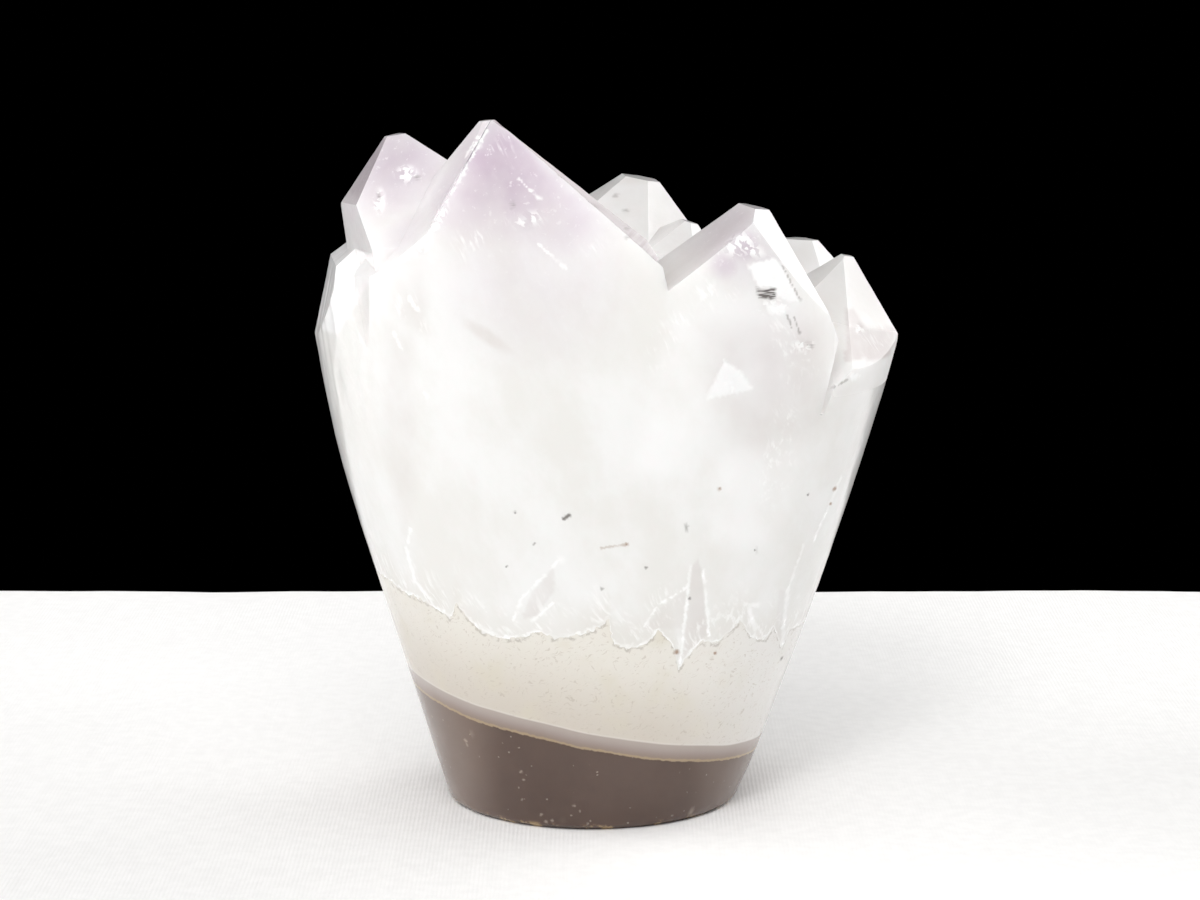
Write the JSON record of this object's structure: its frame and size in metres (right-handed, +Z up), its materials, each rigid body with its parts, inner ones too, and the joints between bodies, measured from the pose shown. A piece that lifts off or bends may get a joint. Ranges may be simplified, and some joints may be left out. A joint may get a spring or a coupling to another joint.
{
  "type": "flower amethyst cluster",
  "caption": "Quartz crystal cluster: pale lavender six-sided points over a smoothly ground cup-shaped body of milky quartz, with a banded brown agate foot cut flat to stand on.",
  "frame": {"origin": "middle of the flat base that the cluster stands on", "axes": "+Z up, out of the crystals; -Y to the front, the side the picture shows; +X to the right of that view"},
  "size_m": [0.0673, 0.0617, 0.0821],
  "materials": {
    "quartz": "polished, translucent"
  },
  "bodies": {
    "root": {"amethyst_cluster": "quartz"}
  },
  "joints": []
}
